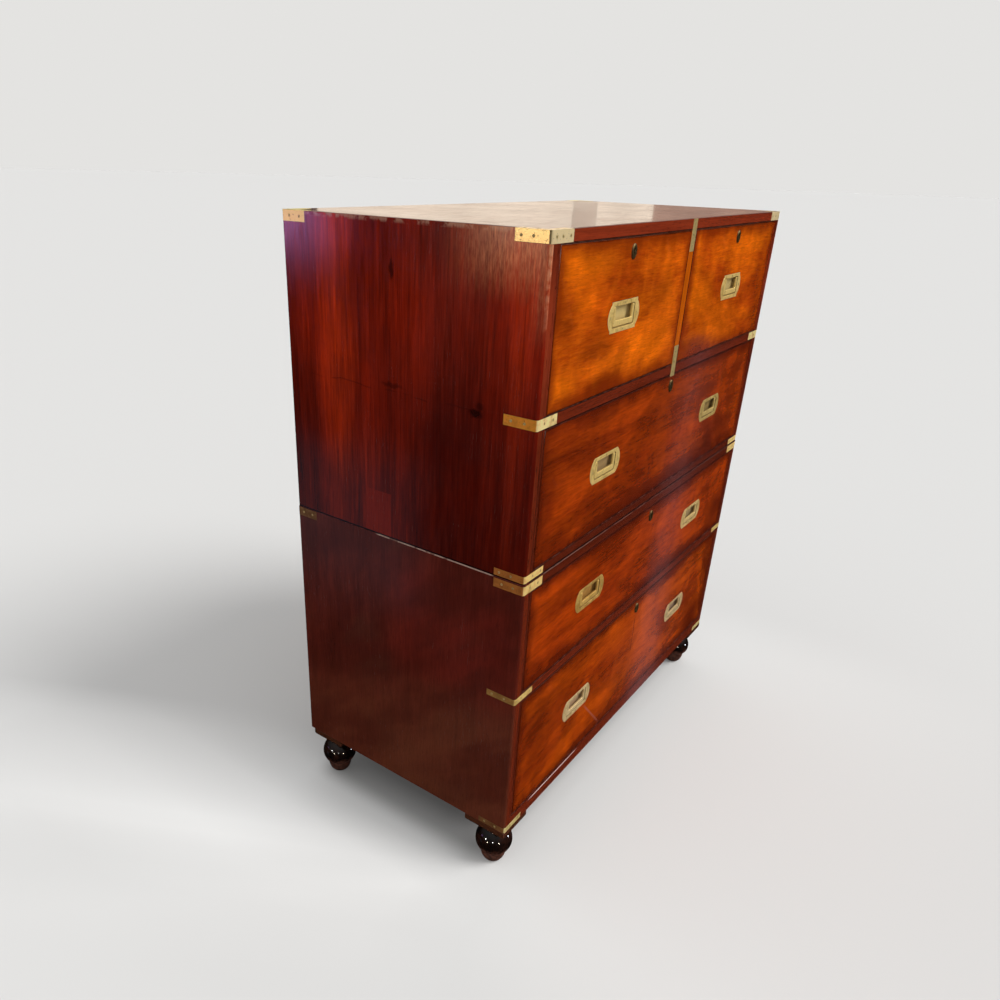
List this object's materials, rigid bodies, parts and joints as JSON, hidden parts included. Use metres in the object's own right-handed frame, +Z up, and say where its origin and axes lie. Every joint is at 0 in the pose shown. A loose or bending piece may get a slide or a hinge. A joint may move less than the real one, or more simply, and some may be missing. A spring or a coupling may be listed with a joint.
{
  "type": "campaign chest of drawers",
  "caption": "Two-part campaign chest of drawers with recessed brass handles, brass corner straps, locks and turned screw-in feet; the upper case lifts off.",
  "frame": {"origin": "on the floor, under the middle of the chest", "axes": "+X to the right as seen from the front, -Y out of the drawer fronts, +Z up"},
  "size_m": [0.98, 0.5003, 1.15],
  "materials": {
    "case_mahogany": "polished, worn",
    "drawer_front_mahogany": "polished",
    "drawer_lining": "bare, dry",
    "aged_brass": "worn, tarnished",
    "ebonised_wood": "gloss black"
  },
  "bodies": {
    "lower_case": {"lower_side_left": "case_mahogany", "lower_side_right": "case_mahogany", "lower_top_board": "case_mahogany", "lower_bottom_board": "case_mahogany", "lower_back": "drawer_lining", "lower_rail": "case_mahogany", "strap_lower_joint_left": "aged_brass", "strap_lower_joint_right": "aged_brass", "strap_middle_left": "aged_brass", "strap_middle_right": "aged_brass", "strap_bottom_left": "aged_brass", "strap_bottom_right": "aged_brass"},
    "upper_case": {"upper_side_left": "case_mahogany", "upper_side_right": "case_mahogany", "top_board": "case_mahogany", "upper_bottom_board": "case_mahogany", "upper_back": "drawer_lining", "upper_rail": "case_mahogany", "drawer_divider": "case_mahogany", "strap_top_left": "aged_brass", "strap_top_right": "aged_brass", "strap_rail_left": "aged_brass", "strap_rail_right": "aged_brass", "strap_upper_joint_left": "aged_brass", "strap_upper_joint_right": "aged_brass"},
    "bottom_drawer": {"bottom_drawer_front": "drawer_front_mahogany", "bottom_drawer_box": "drawer_lining", "bottom_drawer_left_plate": "aged_brass", "bottom_drawer_right_plate": "aged_brass"},
    "bottom_drawer_left_bail": {"bottom_drawer_left_bail": "aged_brass"},
    "bottom_drawer_right_bail": {"bottom_drawer_right_bail": "aged_brass"},
    "bottom_drawer_lock_bolt": {"bottom_drawer_lock_bolt": "aged_brass"},
    "third_drawer": {"third_drawer_front": "drawer_front_mahogany", "third_drawer_box": "drawer_lining", "third_drawer_left_plate": "aged_brass", "third_drawer_right_plate": "aged_brass"},
    "third_drawer_left_bail": {"third_drawer_left_bail": "aged_brass"},
    "third_drawer_right_bail": {"third_drawer_right_bail": "aged_brass"},
    "third_drawer_lock_bolt": {"third_drawer_lock_bolt": "aged_brass"},
    "second_drawer": {"second_drawer_front": "drawer_front_mahogany", "second_drawer_box": "drawer_lining", "second_drawer_left_plate": "aged_brass", "second_drawer_right_plate": "aged_brass"},
    "second_drawer_left_bail": {"second_drawer_left_bail": "aged_brass"},
    "second_drawer_right_bail": {"second_drawer_right_bail": "aged_brass"},
    "second_drawer_lock_bolt": {"second_drawer_lock_bolt": "aged_brass"},
    "short_drawer_left": {"short_drawer_left_front": "drawer_front_mahogany", "short_drawer_left_box": "drawer_lining", "short_drawer_left_plate": "aged_brass"},
    "short_drawer_left_bail": {"short_drawer_left_bail": "aged_brass"},
    "short_drawer_left_lock_bolt": {"short_drawer_left_lock_bolt": "aged_brass"},
    "short_drawer_right": {"short_drawer_right_front": "drawer_front_mahogany", "short_drawer_right_box": "drawer_lining", "short_drawer_right_plate": "aged_brass"},
    "short_drawer_right_bail": {"short_drawer_right_bail": "aged_brass"},
    "short_drawer_right_lock_bolt": {"short_drawer_right_lock_bolt": "aged_brass"},
    "foot_front_left": {"foot_front_left": "ebonised_wood"},
    "foot_front_right": {"foot_front_right": "ebonised_wood"},
    "foot_rear_left": {"foot_rear_left": "ebonised_wood"},
    "foot_rear_right": {"foot_rear_right": "ebonised_wood"}
  },
  "joints": [
    {"name": "upper_case_lift", "type": "slide", "parent": "lower_case", "child": "upper_case", "axis": [0, 0, 1], "range_m": [0, 0.1]},
    {"name": "bottom_drawer_slide", "type": "slide", "parent": "lower_case", "child": "bottom_drawer", "axis": [0, -1, 0], "range_m": [0, 0.38]},
    {"name": "bottom_drawer_left_bail_hinge", "type": "hinge", "parent": "bottom_drawer", "child": "bottom_drawer_left_bail", "pos_m": [-0.245, -0.2477, 0.2863], "axis": [-1, 0, 0], "range_deg": [0, 90]},
    {"name": "bottom_drawer_right_bail_hinge", "type": "hinge", "parent": "bottom_drawer", "child": "bottom_drawer_right_bail", "pos_m": [0.245, -0.2477, 0.2863], "axis": [-1, 0, 0], "range_deg": [0, 90]},
    {"name": "bottom_drawer_lock", "type": "slide", "parent": "bottom_drawer", "child": "bottom_drawer_lock_bolt", "axis": [0, 0, 1], "range_m": [0, 0.006]},
    {"name": "third_drawer_slide", "type": "slide", "parent": "lower_case", "child": "third_drawer", "axis": [0, -1, 0], "range_m": [0, 0.38]},
    {"name": "third_drawer_left_bail_hinge", "type": "hinge", "parent": "third_drawer", "child": "third_drawer_left_bail", "pos_m": [-0.245, -0.2477, 0.5318], "axis": [-1, 0, 0], "range_deg": [0, 90]},
    {"name": "third_drawer_right_bail_hinge", "type": "hinge", "parent": "third_drawer", "child": "third_drawer_right_bail", "pos_m": [0.245, -0.2477, 0.5318], "axis": [-1, 0, 0], "range_deg": [0, 90]},
    {"name": "third_drawer_lock", "type": "slide", "parent": "third_drawer", "child": "third_drawer_lock_bolt", "axis": [0, 0, 1], "range_m": [0, 0.006]},
    {"name": "second_drawer_slide", "type": "slide", "parent": "upper_case", "child": "second_drawer", "axis": [0, -1, 0], "range_m": [0, 0.38]},
    {"name": "second_drawer_left_bail_hinge", "type": "hinge", "parent": "second_drawer", "child": "second_drawer_left_bail", "pos_m": [-0.245, -0.2467, 0.7803], "axis": [-1, 0, 0], "range_deg": [0, 90]},
    {"name": "second_drawer_right_bail_hinge", "type": "hinge", "parent": "second_drawer", "child": "second_drawer_right_bail", "pos_m": [0.245, -0.2467, 0.7803], "axis": [-1, 0, 0], "range_deg": [0, 90]},
    {"name": "second_drawer_lock", "type": "slide", "parent": "second_drawer", "child": "second_drawer_lock_bolt", "axis": [0, 0, 1], "range_m": [0, 0.006]},
    {"name": "short_drawer_left_slide", "type": "slide", "parent": "upper_case", "child": "short_drawer_left", "axis": [0, -1, 0], "range_m": [0, 0.38]},
    {"name": "short_drawer_left_bail_hinge", "type": "hinge", "parent": "short_drawer_left", "child": "short_drawer_left_bail", "pos_m": [-0.245, -0.2467, 1.0293], "axis": [-1, 0, 0], "range_deg": [0, 90]},
    {"name": "short_drawer_left_lock", "type": "slide", "parent": "short_drawer_left", "child": "short_drawer_left_lock_bolt", "axis": [0, 0, 1], "range_m": [0, 0.006]},
    {"name": "short_drawer_right_slide", "type": "slide", "parent": "upper_case", "child": "short_drawer_right", "axis": [0, -1, 0], "range_m": [0, 0.38]},
    {"name": "short_drawer_right_bail_hinge", "type": "hinge", "parent": "short_drawer_right", "child": "short_drawer_right_bail", "pos_m": [0.245, -0.2467, 1.0293], "axis": [-1, 0, 0], "range_deg": [0, 90]},
    {"name": "short_drawer_right_lock", "type": "slide", "parent": "short_drawer_right", "child": "short_drawer_right_lock_bolt", "axis": [0, 0, 1], "range_m": [0, 0.006]},
    {"name": "foot_front_left_screw", "type": "hinge", "parent": "lower_case", "child": "foot_front_left", "pos_m": [-0.45, -0.206, 0.097], "axis": [0, 0, -1], "range_deg": [0, 360]},
    {"name": "foot_front_right_screw", "type": "hinge", "parent": "lower_case", "child": "foot_front_right", "pos_m": [0.45, -0.206, 0.097], "axis": [0, 0, -1], "range_deg": [0, 360]},
    {"name": "foot_rear_left_screw", "type": "hinge", "parent": "lower_case", "child": "foot_rear_left", "pos_m": [-0.45, 0.206, 0.097], "axis": [0, 0, -1], "range_deg": [0, 360]},
    {"name": "foot_rear_right_screw", "type": "hinge", "parent": "lower_case", "child": "foot_rear_right", "pos_m": [0.45, 0.206, 0.097], "axis": [0, 0, -1], "range_deg": [0, 360]}
  ]
}
